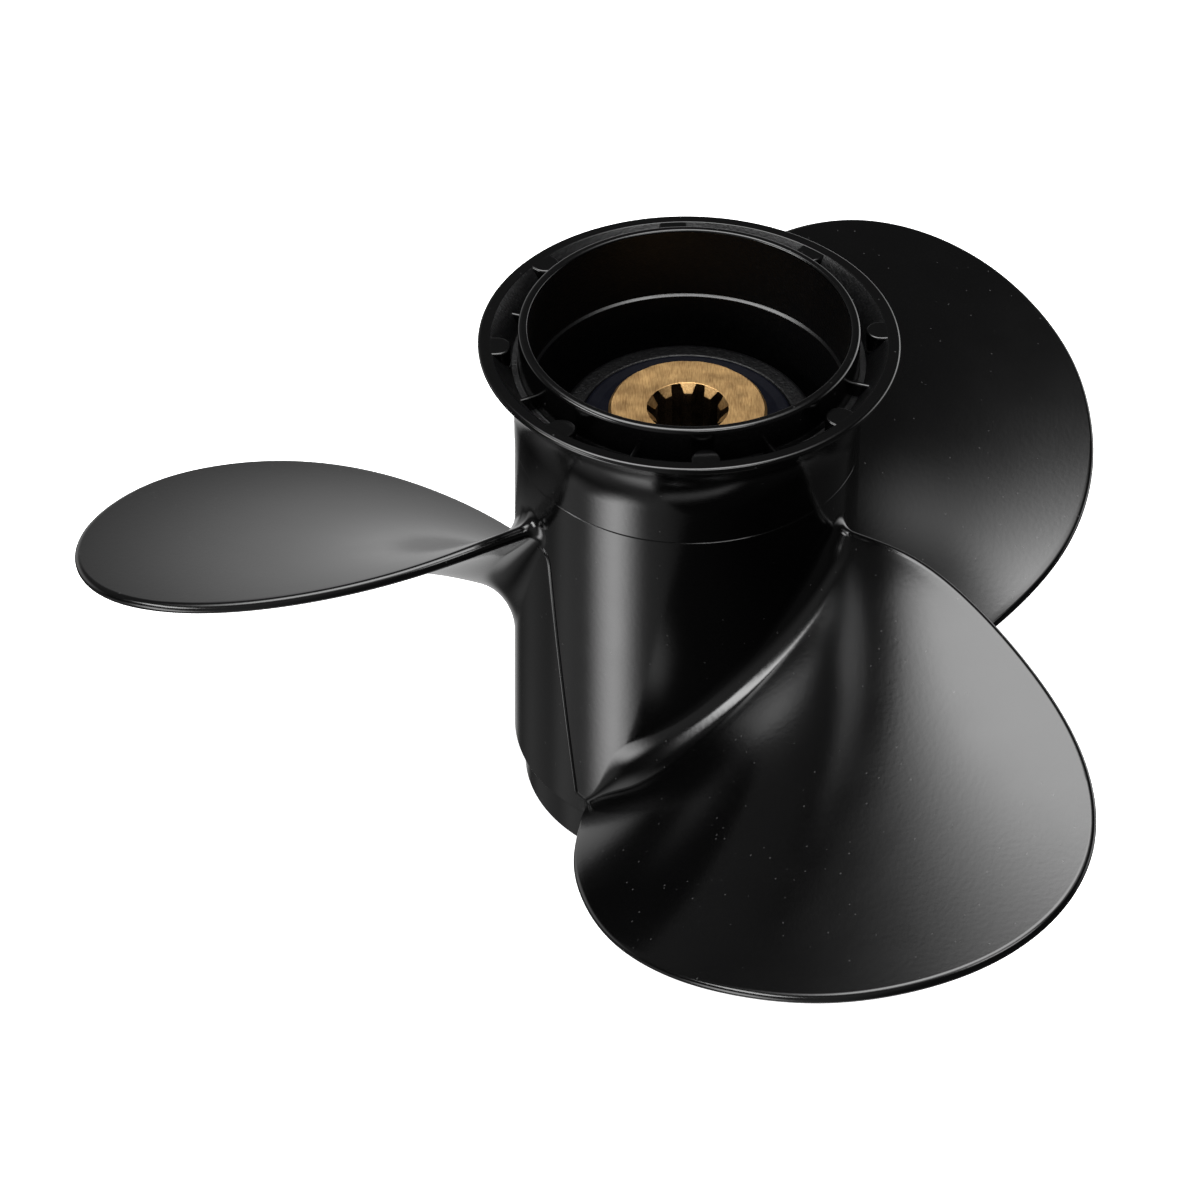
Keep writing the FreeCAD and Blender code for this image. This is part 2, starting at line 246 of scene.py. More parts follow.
def make_object(name, vertices, faces, normals, materials, slots=None):
    """A mesh object from points in millimetres, with its own smooth normals."""
    mesh = bpy.data.meshes.new(name)
    mesh.from_pydata((np.asarray(vertices) * MM).tolist(), [], faces)
    for material in materials:
        mesh.materials.append(material)
    if slots is not None:
        mesh.polygons.foreach_set("material_index", slots)
    mesh.polygons.foreach_set("use_smooth", [True] * len(faces))
    mesh.normals_split_custom_set_from_vertices(np.asarray(normals).tolist())
    mesh.update()
    obj = bpy.data.objects.new(name, mesh)
    bpy.context.scene.collection.objects.link(obj)
    return obj


def finish_piece(obj, body, slot, *nodes):
    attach(obj, body)
    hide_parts(*nodes)
    return obj


# Steps round a rounded corner, along a parting ridge, and round the outer and inner hub
ARC_STEPS = 6
RIDGE_STEPS = 160
OUTER_STEPS = 360
INNER_STEPS = 180


def rounded(corners):
    """A closed outline from (x, y, radius) corners, each rounded by its radius."""
    made = []
    count = len(corners)
    for n, (x, y, radius) in enumerate(corners):
        here = np.array([x, y])
        if radius == 0:
            made.append(here)
            continue
        into = unit(here - np.array(corners[n - 1][:2]))
        out = unit(np.array(corners[(n + 1) % count][:2]) - here)
        turn = math.acos(max(-1.0, min(1.0, float(into @ out))))
        reach = radius * math.tan(turn / 2)
        inward = unit(out - into)
        centre = here + inward * radius / math.cos(turn / 2)
        start = unit(here - into * reach - centre)
        end = unit(here + out * reach - centre)
        for share in np.linspace(0, 1, ARC_STEPS + 1):
            between = math.sin((1 - share) * turn) * start + math.sin(share * turn) * end
            made.append(centre + radius * between / math.sin(turn))
    return np.array(made)


def revolve(name, profile, steps, materials, slot_of=None):
    """A closed profile of (radius, height) points turned about the shaft."""
    angles = np.arange(steps) * TAU / steps
    radius = profile[:, 0][:, None]
    points = np.stack([
        radius * np.cos(angles), radius * np.sin(angles),
        np.repeat(profile[:, 1][:, None], steps, 1),
    ], axis=-1)
    normals = grid_normals(points, True, True)
    faces = grid_faces(len(profile), steps, True, True)
    ahead = np.roll(profile, -1, 0)
    area = np.sum(profile[:, 0] * ahead[:, 1] - ahead[:, 0] * profile[:, 1])
    if area > 0:
        faces = [face[::-1] for face in faces]
        normals = -normals
    slots = None
    if slot_of:
        middle = (profile + ahead) / 2
        slots = np.repeat([slot_of(r, z) for r, z in middle], steps).astype(int)
    return make_object(
        name, points.reshape(-1, 3), faces, normals.reshape(-1, 3), materials, slots
    )


def turned(points, degrees):
    angle = math.radians(degrees)
    c, s = math.cos(angle), math.sin(angle)
    return points @ np.array([[c, s, 0], [-s, c, 0], [0, 0, 1]])


# ---- materials ----

class Nodes:
    """Short calls for building one node tree."""

    def __init__(self, tree):
        self.tree = tree

    def add(self, kind, inputs=None, **settings):
        node = self.tree.nodes.new(kind)
        for key, value in settings.items():
            setattr(node, key, value)
        for key, value in (inputs or {}).items():
            if isinstance(value, bpy.types.NodeSocket):
                self.tree.links.new(value, node.inputs[key])
            else:
                node.inputs[key].default_value = value
        return node

    def math(self, operation, a, b=0.0):
        return self.add("ShaderNodeMath", {0: a, 1: b}, operation=operation).outputs[0]

    def remap(self, value, low, high, to_low, to_high, smoothed=False):
        kind = "SMOOTHSTEP" if smoothed else "LINEAR"
        node = self.add("ShaderNodeMapRange", {
            "Value": value, "From Min": low, "From Max": high, "To Min": to_low, "To Max": to_high,
        }, interpolation_type=kind)
        return node.outputs["Result"]

    def noise(self, where, size_mm, detail=3.0, roughness=0.5):
        node = self.add("ShaderNodeTexNoise", {
            "Vector": where, "Scale": 1.0 / (size_mm * MM), "Detail": detail,
            "Roughness": roughness,
        })
        return node.outputs["Fac"]

    def bump(self, height, depth_mm, below=None):
        node = self.add("ShaderNodeBump", {
            "Height": height, "Distance": depth_mm * MM, "Strength": 1.0,
        })
        if below is not None:
            self.tree.links.new(below, node.inputs["Normal"])
        return node.outputs["Normal"]


def new_material(name):
    material = bpy.data.materials.new(name)
    material.use_nodes = True
    nodes = Nodes(material.node_tree)
    shader = material.node_tree.nodes["Principled BSDF"]
    where = nodes.add("ShaderNodeTexCoord").outputs["Object"]
    return material, nodes, shader, where


def link(nodes, socket, shader, name):
    nodes.tree.links.new(socket, shader.inputs[name])


def colour_mix(nodes, share, first, second):
    node = nodes.add("ShaderNodeMix", data_type="RGBA")
    colour_sockets = [s for s in node.inputs if s.type == "RGBA"]
    nodes.tree.links.new(share, node.inputs[0])
    for socket, colour in zip(colour_sockets, (first, second)):
        socket.default_value = colour
    return next(s for s in node.outputs if s.type == "RGBA")


def black_paint():
    """Satin black paint: faint orange peel, slight changes of sheen and fine pale dust."""
    material, nodes, shader, where = new_material("satin_black_paint")
    patches = nodes.noise(where, 9.0)
    link(nodes, nodes.remap(patches, 0.3, 0.7, 0.145, 0.17), shader, "Roughness")
    peel = nodes.noise(where, 0.9, 2.0)
    link(nodes, nodes.bump(peel, 0.008), shader, "Normal")
    cells = nodes.add("ShaderNodeTexVoronoi", {"Vector": where, "Scale": 1 / (2.1 * MM)})
    speck = nodes.remap(cells.outputs["Distance"], 0.05, 0.11, 1.0, 0.0)
    chosen = nodes.math("GREATER_THAN", nodes.noise(where, 2.0, 0.0), 0.54)
    dust = nodes.math("MULTIPLY", speck, chosen)
    colour = colour_mix(nodes, dust, (0.0009, 0.0009, 0.00095, 1), (0.035, 0.035, 0.035, 1))
    link(nodes, colour, shader, "Base Color")
    return material


def cast_skin(name, shine):
    """The same paint over the grainy skin of the die casting."""
    material, nodes, shader, where = new_material(name)
    shader.inputs["Specular IOR Level"].default_value = shine
    grain = nodes.noise(where, 0.55, 3.0, 0.6)
    link(nodes, nodes.remap(grain, 0.3, 0.7, 0.28, 0.42), shader, "Roughness")
    link(nodes, nodes.bump(grain, 0.12), shader, "Normal")
    worn = nodes.remap(grain, 0.6, 0.8, 0, 1)
    colour = colour_mix(nodes, worn, (0.0014, 0.0014, 0.0016, 1), (0.005, 0.005, 0.005, 1))
    link(nodes, colour, shader, "Base Color")
    return material


def rubber():
    """Blue-black moulded rubber with a fine matt skin."""
    material, nodes, shader, where = new_material("blue_black_rubber")
    mottle = nodes.noise(where, 2.4)
    colour = colour_mix(nodes, mottle, (0.0013, 0.0015, 0.0032, 1), (0.0025, 0.0028, 0.0055, 1))
    link(nodes, colour, shader, "Base Color")
    link(nodes, nodes.remap(mottle, 0.3, 0.7, 0.42, 0.55), shader, "Roughness")
    link(nodes, nodes.bump(nodes.noise(where, 0.3), 0.02), shader, "Normal")
    shader.inputs["Specular IOR Level"].default_value = 0.06
    return material


# Share of the bronze's colour that comes from its brushed grain; stains make up the rest
BRUSHED_SHARE = 0.72


def bronze(name, dark, light, sheen):
    """Turned bronze: fine rings about the shaft, crossed by faint handling marks."""
    material, nodes, shader, where = new_material(name)
    parts = nodes.add("ShaderNodeSeparateXYZ", {"Vector": where})
    flat = nodes.add("ShaderNodeCombineXYZ", {"X": parts.outputs["X"], "Y": parts.outputs["Y"]})
    radius = nodes.add("ShaderNodeVectorMath", {0: flat.outputs[0]}, operation="LENGTH")
    reach = radius.outputs["Value"]
    turning = nodes.add("ShaderNodeTexNoise", {
        "W": reach, "Scale": 1 / (0.14 * MM), "Detail": 2.0,
    }, noise_dimensions="1D").outputs["Fac"]
    stretch = nodes.add("ShaderNodeMapping", {
        "Vector": where, "Rotation": (0.0, 0.0, 0.6), "Scale": (1.0, 0.12, 1.0),
    })
    brushed = nodes.noise(stretch.outputs["Vector"], 0.25, 3.0)
    stain = nodes.noise(where, 3.5, 4.0, 0.6)
    mixed = nodes.math(
        "ADD", nodes.math("MULTIPLY", brushed, BRUSHED_SHARE),
        nodes.math("MULTIPLY", stain, 1 - BRUSHED_SHARE),
    )
    colour = colour_mix(nodes, nodes.remap(mixed, 0.36, 0.64, 0, 1), dark, light)
    link(nodes, colour, shader, "Base Color")
    shader.inputs["Metallic"].default_value = 1.0
    link(nodes, nodes.remap(stain, 0.3, 0.7, *sheen), shader, "Roughness")
    fine = nodes.bump(turning, 0.006)
    link(nodes, nodes.bump(brushed, 0.006, below=fine), shader, "Normal")
    return material


PAINT = black_paint()
CAST = cast_skin("painted_cast_skin", 0.5)
BORE_SKIN = cast_skin("painted_bore_skin", 0.22)
RUBBER = rubber()
BRONZE = bronze("turned_bronze", (0.36, 0.205, 0.085, 1), (0.60, 0.39, 0.17, 1), (0.36, 0.48))
# A copy of the turned bronze with a much darker colour, for the sleeve's chamfered mouth, teeth and
# thrust bore: painted shade, darker bronze standing in for the shade inside the bore
BORE_BRONZE_PAINTED_SHADE = bronze(
    "bronze_darkened_by_painted_shade", (0.035, 0.024, 0.015, 1), (0.115, 0.078, 0.045, 1), (0.40, 0.60)
)


# ---- outer hub ----

def flare_radius(z, offset=0.0):
    """Radius of the flare's concave outer surface, or of one offset inwards from it."""
    reach = FLARE_ARC_R + offset
    rise = z - FLARE_START_Z
    return FLARE_R + FLARE_ARC_R - math.sqrt(reach * reach - rise * rise)


def outer_hub():
    """Collar, barrel, flare and aft tube as one skin."""
    lip_low = LIP_Z - LIP_THICK
    half = LIP_THICK / 2
    flare = [(flare_radius(z), z, 0) for z in np.linspace(FLARE_START_Z, lip_low, 16)]
    pocket = [
        (flare_radius(z, FLARE_WALL), z, 0)
        for z in np.linspace(LIP_Z - 0.35, POCKET_FLOOR_Z + 0.5, 10)
    ]
    corners = [
        (BORE_R, RIM_Z, 0.5), (COLLAR_R, RIM_Z, 0.5), (COLLAR_R, COLLAR_TOP_Z, 0.3),
        (BARREL_FRONT_R, COLLAR_TOP_Z, 0.45),
        (BARREL_AFT_R, PARTING_Z - SEAM, 0.12), (BARREL_AFT_R - SEAM, PARTING_Z, 0.03),
        (FLARE_R, PARTING_Z + SEAM, 0.08),
    ]
    corners += flare
    corners += [
        (LIP_R, lip_low + 0.05, half * 0.95), (LIP_R, LIP_Z, half * 0.95),
        (flare_radius(LIP_Z, FLARE_WALL), LIP_Z, 0.25),
    ]
    corners += pocket
    corners += [
        (flare_radius(POCKET_FLOOR_Z, FLARE_WALL), POCKET_FLOOR_Z, 0.3),
        (TUBE_R, POCKET_FLOOR_Z, 0.3), (TUBE_R, TUBE_TOP_Z, 0.8),
        (TUBE_MOUTH_R, TUBE_TOP_Z, 0.5), (TUBE_MOUTH_R, TUBE_STEP_Z, 0.1),
        (BORE_R, TUBE_STEP_Z - 0.3, 0.15),
    ]

    materials = [PAINT, CAST, BORE_SKIN]

    def slot_of(r, z):
        on_step = TUBE_STEP_Z - 0.4 < z < TUBE_STEP_Z + 0.2
        in_bore = r < TUBE_MOUTH_R + 0.05 and z < TUBE_TOP_Z - 1.0 and not on_step
        in_pocket = (
            POCKET_FLOOR_Z - 0.1 < z < LIP_Z - 0.2
            and TUBE_R + 0.05 < r < flare_radius(z, FLARE_WALL) + 0.4
        )
        return materials.index(BORE_SKIN if in_bore else CAST if in_pocket else PAINT)

    obj = revolve("outer_hub", rounded(corners), OUTER_STEPS, materials, slot_of)
    return finish_piece(
        obj, "casting", "painted_casting", "front_collar", "barrel", "aft_tube", "diffuser_flare"
    )


def inner_hub():
    profile = rounded([
        (SHOULDER_R, INNER_HUB_FRONT_Z, 0.3), (INNER_HUB_R, INNER_HUB_FRONT_Z, 0.8),
        (INNER_HUB_R, INNER_HUB_AFT_Z, 1.2), (BUSH_R, INNER_HUB_AFT_Z, 0.5),
        (BUSH_R, SHOULDER_TOP_Z, 0.1), (SHOULDER_R, SHOULDER_TOP_Z, 0.2),
    ])
    obj = revolve("inner_hub_casting", profile, INNER_STEPS, [BORE_SKIN])
    return finish_piece(obj, "casting", "painted_casting", "inner_hub")


def cushion_bush():
    """The rubber, with its aft face dished between the sleeve and the casting."""
    middle = (SLEEVE_R + BUSH_R) / 2
    outside = BUSH_R - BOND_GAP
    profile = rounded([
        (SLEEVE_R, BUSH_FRONT_Z, 0.2), (outside, BUSH_FRONT_Z, 0.8), (outside, BUSH_AFT_Z, 0.8),
        (middle, BUSH_AFT_Z - BUSH_DISH, 1.5), (SLEEVE_R, BUSH_AFT_Z, 0.2),
    ])
    obj = revolve("rubber_bush", profile, INNER_STEPS, [RUBBER])
    return finish_piece(obj, "sleeve", "cushion_rubber", "cushion_bush")


# Rounding of the teeth, points along each groove's floor, the share of it that they span, and
# how far below the end face the chamfered mouth starts
TOOTH_ROUND = 0.2
GROOVE_POINTS = 5
GROOVE_FLAT_SHARE = 0.8
LEAD_IN_DROP = 0.08


def on_major(angle, rounding):
    """A corner on the spline's major circle."""
    return (SPLINE_MAJOR_R * math.cos(angle), SPLINE_MAJOR_R * math.sin(angle), rounding)


def spline_outline():
    """The ten-tooth bore seen along the shaft, with one tooth at +Y."""
    step = TAU / SPLINE_TEETH
    root = TOOTH_ROOT_WIDTH / 2
    tip = TOOTH_TIP_WIDTH / 2
    root_angle = math.asin(root / SPLINE_MAJOR_R)
    middle = step / 2
    reach = (middle - root_angle) * GROOVE_FLAT_SHARE
    local = [
        (SPLINE_MINOR_R, -tip, TOOTH_ROUND), (SPLINE_MINOR_R, tip, TOOTH_ROUND),
        on_major(root_angle, TOOTH_ROUND),
    ]
    local += [on_major(a, 0) for a in np.linspace(middle - reach, middle + reach, GROOVE_POINTS)]
    local.append(on_major(step - root_angle, TOOTH_ROUND))
    outline = []
    for n in range(SPLINE_TEETH):
        turn = math.pi / 2 + n * step
        c, s = math.cos(turn), math.sin(turn)
        outline += [(x * c - y * s, x * s + y * c, rounding) for x, y, rounding in local]
    return rounded(outline)


def splined_sleeve():
    """A turned outside and a ten-tooth spline bore, as one grid of rings."""
    spline = spline_outline()
    radius = np.linalg.norm(spline, axis=1)
    around = spline / radius[:, None]
    count = len(around)

    def ring(r, z):
        return np.concatenate([
            around * np.broadcast_to(r, count)[:, None], np.broadcast_to(z, count)[:, None],
        ], axis=1)

    top_z = SLEEVE_TOP_Z
    low = THRUST_BORE_LENGTH
    shoulder = SLEEVE_R - SLEEVE_CHAMFER
    mouth = SPLINE_MAJOR_R + 0.1
    outside = rounded([
        (THRUST_BORE_R, 0.0, 0.3), (shoulder, 0.0, 0.15), (SLEEVE_R, SLEEVE_CHAMFER, 0.15),
        (SLEEVE_R, top_z - SLEEVE_CHAMFER, 0.15), (shoulder, top_z, 0.15), (mouth, top_z, 0),
    ])
    rings = [ring(r, z) for r, z in outside]
    # the chamfered mouth, which runs down to the tip of each tooth
    rim = np.minimum(radius, SPLINE_MAJOR_R)
    lip_z = top_z - LEAD_IN_DROP
    lead = top_z - (SPLINE_MAJOR_R - rim) - 0.1
    for share in (0.0, 0.33, 0.66, 0.94):
        rings.append(ring(
            SPLINE_MAJOR_R + (rim - SPLINE_MAJOR_R) * share, lip_z + (lead - lip_z) * share
        ))
    first_bored = len(rings) - 1
    # the teeth, with close rings at both ends to hold the edges, and the plain thrust bore
    rings += [ring(rim, z) for z in (lead - 0.12, lead - 1.0, low + 1.0, low + 0.05)]
    rings += [ring(mouth, low), ring(THRUST_BORE_R - 0.15, low), ring(THRUST_BORE_R, low - 0.15)]
    points = np.array(rings)
    normals = -grid_normals(points, True, True)
    faces = [face[::-1] for face in grid_faces(len(points), count, True, True)]
    # from the chamfered mouth inwards the sleeve takes the bronze darkened by painted shade
    slots = np.repeat(np.arange(len(points)) >= first_bored, count).astype(int)
    obj = make_object(
        "bronze_sleeve", points.reshape(-1, 3), faces, normals.reshape(-1, 3),
        [BRONZE, BORE_BRONZE_PAINTED_SHADE], slots,
    )
    return finish_piece(obj, "sleeve", "bronze", "splined_sleeve")


# ---- blades ----

def polar(radius, degrees):
    angle = np.radians(degrees)
    return np.stack([radius * np.cos(angle), radius * np.sin(angle)], axis=-1)


def face_height(plan):
    """Height of the blade's aft face over plan points."""
    radius = np.linalg.norm(plan, axis=-1)
    degrees = np.degrees(np.arctan2(plan[..., 1], plan[..., 0]))
    pitch = PITCH_AT_AXIS - PITCH_LOSS_PER_MM * radius
    return HELIX_Z + pitch * (degrees - HELIX_DEG) / 360.0


def face_normal(plan):
    radius = np.linalg.norm(plan, axis=-1)
    degrees = np.degrees(np.arctan2(plan[..., 1], plan[..., 0]))
    outward = plan / radius[..., None]
    around = np.stack([-outward[..., 1], outward[..., 0]], axis=-1)
    climb = (PITCH_AT_AXIS - PITCH_LOSS_PER_MM * radius) / (TAU * radius)
    fall = -PITCH_LOSS_PER_MM * (degrees - HELIX_DEG) / 360.0
    slope = outward * fall[..., None] + around * climb[..., None]
    return unit(np.concatenate([-slope, np.ones(slope.shape[:-1] + (1,))], axis=-1))


def blade_thickness(plan):
    radius = np.linalg.norm(plan, axis=-1)
    degrees = np.degrees(np.arctan2(plan[..., 1], plan[..., 0]))
    out = (radius - BLADE_START_R) / (TIP_R - BLADE_START_R)
    middle = HELIX_DEG + CROWN_LEAN_DEG * out
    spread = CROWN_SPREAD_ROOT_DEG + (CROWN_SPREAD_TIP_DEG - CROWN_SPREAD_ROOT_DEG) * out
    crown = ROOT_THICK + (TIP_THICK - ROOT_THICK) * np.clip(out, 0, 1) ** CROWN_POWER
    return EDGE_THICK + (crown - EDGE_THICK) * np.exp(-(((degrees - middle) / spread) ** 2))


# Steps of the blade's grid: across the chord, round the edge, from the root to the tip, and in
# the root; and points on its outline
ACROSS = 64
BEAD_STEPS = 10
SIDE_ROWS = 70
ROOT_ROWS = 22
OUTLINE_STEPS = 1201
# Where the root's rows start, how far out they reach, how deep the blade runs on into the
# barrel, and the lowest that its root comes, just above the collar
ROOT_START_R = BARREL_FRONT_R - 0.5
ROOT_REACH = 12.0
ROOT_SUNK = 1.5
LOWEST_ROOT_Z = COLLAR_TOP_Z + 0.05
# The stretch of the outline that counts as the tip, as shares of its points
TIP_START = 0.30
TIP_END = 0.66


class Edge:
    """The blade's outline, with the inset edge of the aft face and the direction outward."""

    def __init__(self):
        self.plan = spline_through([polar(r, a) for r, a in BLADE_OUTLINE], OUTLINE_STEPS)
        run = np.gradient(self.plan, axis=0)
        height = face_height(self.plan)
        tangent = unit(np.concatenate([run, np.gradient(height)[:, None]], axis=1))
        normal = face_normal(self.plan)
        self.outward = unit(np.cross(normal, tangent))
        self.share = np.linspace(0, 1, OUTLINE_STEPS)
        self.radius = np.linalg.norm(self.plan, axis=1)
        half = blade_thickness(self.plan)[:, None] / 2
        self.inset = self.plan - self.outward[:, :2] * half

    def pick(self, values, share):
        return np.array([np.interp(share, self.share, v) for v in values.T])

    def at(self, share):
        """Inset plan point and outward direction at a share of the outline."""
        return self.pick(self.inset, share), unit(self.pick(self.outward, share))

    def share_at_radius(self, radius, leading):
        half = len(self.share) // 2
        if leading:
            return float(np.interp(radius, self.radius[half:][::-1], self.share[half:][::-1]))
        return float(np.interp(radius, self.radius[:half], self.share[:half]))


def round_edge(outward, normal, step):
    """Direction from the middle of the edge at one step from the aft face to the forward."""
    angle = math.pi / 2 - math.pi * step / BEAD_STEPS
    return math.cos(angle) * outward + math.sin(angle) * normal


def bead(inset, outward, normal, thickness):
    """Points from the aft face round the edge to the forward face, without those two."""
    base = np.append(inset, face_height(inset))
    centre = base - normal * thickness / 2
    return np.array([
        centre + thickness / 2 * round_edge(outward, normal, n) for n in range(1, BEAD_STEPS)
    ])


def section_loop(plan, trailing, leading):
    """A closed loop round the blade: aft face, leading bead, forward face, trailing bead."""
    normal = face_normal(plan)
    thickness = blade_thickness(plan)
    upper = np.concatenate([plan, face_height(plan)[:, None]], axis=1)
    lower = upper - normal * thickness[:, None]
    lead = bead(plan[-1], leading, normal[-1], thickness[-1])
    trail = bead(plan[0], trailing, normal[0], thickness[0])
    return np.concatenate([upper, lead, lower[::-1], trail[::-1]])


# Root fillet radii along the chord, from the trailing edge to the leading edge: on the aft face
# its usual size, a swell, and what it loses towards each edge; on the forward face its size at
# both edges and what it gains between them
AFT_FILLET = 4.6
SWELL_SIZE = 1.6
SWELL_AT = 0.76
SWELL_SPREAD = 0.14
LEADING_LOSS = 3.6
LEADING_LOSS_FROM = 0.80
TRAILING_LOSS = 1.2
TRAILING_LOSS_FROM = 0.06
FORWARD_FILLET = 3.0
FORWARD_GAIN = 4.0


def root_fillets():
    """Fillet radius at each column of a section loop."""
    chord = np.linspace(0, 1, ACROSS + 1)
    aft = AFT_FILLET + SWELL_SIZE * np.exp(-(((chord - SWELL_AT) / SWELL_SPREAD) ** 2))
    aft -= LEADING_LOSS * smooth(LEADING_LOSS_FROM, 1.0, chord)
    aft -= TRAILING_LOSS * smooth(TRAILING_LOSS_FROM, 0.0, chord)
    forward = FORWARD_FILLET + FORWARD_GAIN * np.sin(np.pi * chord)
    inner = np.linspace(0, 1, BEAD_STEPS + 1)[1:-1]
    lead = aft[-1] + (forward[-1] - aft[-1]) * inner
    trail = forward[0] + (aft[0] - forward[0]) * inner
    return np.concatenate([aft, lead, forward[::-1], trail])


def root_row(edge, reach, fillets):
    """The loop at a distance above the barrel, spread outwards by the root fillet."""
    share = reach / ROOT_REACH
    radius = ROOT_START_R + reach
    t_in, t_out = edge.at(edge.share_at_radius(radius, False))
    l_in, l_out = edge.at(edge.share_at_radius(radius, True))
    ends = []
    for inset in (t_in, l_in):
        own = np.linalg.norm(inset)
        ends.append((radius + (own - radius) * share, math.degrees(math.atan2(inset[1], inset[0]))))
    across = np.linspace(0, 1, ACROSS + 1)
    radii = ends[0][0] + (ends[1][0] - ends[0][0]) * across
    degrees = ends[0][1] + (ends[1][1] - ends[0][1]) * across
    loop = section_loop(polar(radii, degrees), t_out, l_out)
    angle = np.unwrap(np.arctan2(loop[:, 1], loop[:, 0]))
    run = angle * radius
    flat = np.stack([run, loop[:, 2]], axis=1)
    tangent = unit(np.roll(flat, -1, 0) - np.roll(flat, 1, 0))
    outward = np.stack([tangent[:, 1], -tangent[:, 0]], axis=1)
    inside = np.clip(fillets - reach, 0, None)
    spread = fillets - np.sqrt(np.maximum(fillets ** 2 - inside ** 2, 0))
    moved = flat + outward * spread[:, None]
    height = np.maximum(moved[:, 1], LOWEST_ROOT_Z)
    own_radius = np.linalg.norm(loop[:, :2], axis=1)
    onto = barrel_radius(height) + reach
    final = onto + (own_radius - onto) * share ** 2
    turn = moved[:, 0] / radius
    return np.stack([final * np.cos(turn), final * np.sin(turn), height], axis=1)


def coons(edge, first_row, share_trailing, share_leading):
    """Plan points between the first row, the two sides and the tip side."""
    down = np.linspace(0, 1, SIDE_ROWS + 1)
    trailing = [edge.at(share_trailing + (TIP_START - share_trailing) * s) for s in down]
    leading = [edge.at(share_leading + (TIP_END - share_leading) * s) for s in down]
    tip = [edge.at(TIP_START + (TIP_END - TIP_START) * s) for s in np.linspace(0, 1, ACROSS + 1)]
    left = np.array([p for p, _ in trailing])
    right = np.array([p for p, _ in leading])
    far = np.array([p for p, _ in tip])
    u = np.linspace(0, 1, ACROSS + 1)[None, :, None]
    v = down[:, None, None]
    between_sides = (1 - u) * left[:, None] + u * right[:, None]
    between_ends = (1 - v) * first_row[None] + v * far[None]
    near_corners = (1 - u) * left[0] + u * right[0]
    far_corners = (1 - u) * far[0] + u * far[-1]
    plan = between_sides + between_ends - (1 - v) * near_corners - v * far_corners
    return plan, [e for _, e in trailing], [e for _, e in leading], [e for _, e in tip]


def lower_column(j):
    """Column of the forward face under column j of the aft face."""
    return 2 * ACROSS + BEAD_STEPS - j


def tip_bead(plan, tip, last, count, first_new):
    """Points, normals and faces that close the tip between the last loop's two faces."""
    normal = face_normal(plan)
    thickness = blade_thickness(plan)
    index = {}
    for j in range(ACROSS + 1):
        index[(0, j)] = last + j
        index[(BEAD_STEPS, j)] = last + lower_column(j)
    for m in range(1, BEAD_STEPS):
        index[(m, 0)] = last + count - m
        index[(m, ACROSS)] = last + ACROSS + m
    points, normals = [], []
    for j in range(1, ACROSS):
        beads = bead(plan[j], tip[j], normal[j], thickness[j])
        for m in range(1, BEAD_STEPS):
            index[(m, j)] = first_new + len(points)
            points.append(beads[m - 1])
            normals.append(round_edge(tip[j], normal[j], m))
    faces = []
    for m in range(BEAD_STEPS):
        for j in range(ACROSS):
            corners = [(m, j), (m, j + 1), (m + 1, j + 1), (m + 1, j)]
            faces.append(tuple(index[corner] for corner in corners))
    return np.array(points), np.array(normals), faces


def root_cap():
    """Faces that close the root, inside the barrel's wall."""
    faces = [(j, j + 1, lower_column(j + 1), lower_column(j)) for j in range(ACROSS)]
    faces.append(tuple(range(ACROSS, ACROSS + BEAD_STEPS + 1)))
    faces.append((0,) + tuple(lower_column(0) + m for m in range(BEAD_STEPS)))
    return faces


def blade_geometry():
    edge = Edge()
    fillets = root_fillets()
    turn = np.linspace(0, math.pi / 2, ROOT_ROWS + 1)
    reaches = ROOT_REACH * (1 - np.cos(turn))
    rows = [root_row(edge, reach, fillets) for reach in reaches]
    share_trailing = edge.share_at_radius(ROOT_START_R + ROOT_REACH, False)
    share_leading = edge.share_at_radius(ROOT_START_R + ROOT_REACH, True)
    first_row = rows[-1][:ACROSS + 1, :2]
    plan, trailing, leading, tip = coons(edge, first_row, share_trailing, share_leading)
    rows += [section_loop(plan[i], trailing[i], leading[i]) for i in range(1, len(plan))]
    toe = rows[0]
    sunk = toe.copy()
    sunk[:, :2] *= 1 - ROOT_SUNK / BARREL_FRONT_R
    points = np.array([sunk] + rows)
    count = points.shape[1]
    # the toe lies in the barrel's surface and takes its normals
    normals = -grid_normals(points, False, True)
    normals[1, :, :2] = unit(toe[:, :2])
    normals[1, :, 2] = (BARREL_FRONT_R - BARREL_AFT_R) / (PARTING_Z - COLLAR_TOP_Z)
    normals[1] = unit(normals[1])
    normals[1][toe[:, 2] <= LOWEST_ROOT_Z + 0.001] = (0, 0, -1)
    vertices = points.reshape(-1, 3)
    last = (len(points) - 1) * count
    more, more_normals, tip_faces = tip_bead(plan[-1], tip, last, count, len(vertices))
    faces = [face[::-1] for face in grid_faces(len(points), count, False, True)]
    faces += tip_faces + root_cap()
    return (
        np.concatenate([vertices, more]), faces,
        np.concatenate([normals.reshape(-1, 3), more_normals]),
    )


# ---- ridges, pads, ribs and webs ----

def capped_tube(points):
    """Points, faces and normals of a grid of closed loops with both ends filled."""
    rows, count = points.shape[:2]
    normals = grid_normals(points, False, True)
    faces = grid_faces(rows, count, False, True)
    faces.append(tuple(range(count)))
    faces.append(tuple((rows - 1) * count + n for n in reversed(range(count))))
    if np.sum(normals * (points - points.mean(axis=(0, 1)))) < 0:
        normals = -normals
        faces = [face[::-1] for face in faces]
    return points.reshape(-1, 3), faces, normals.reshape(-1, 3)


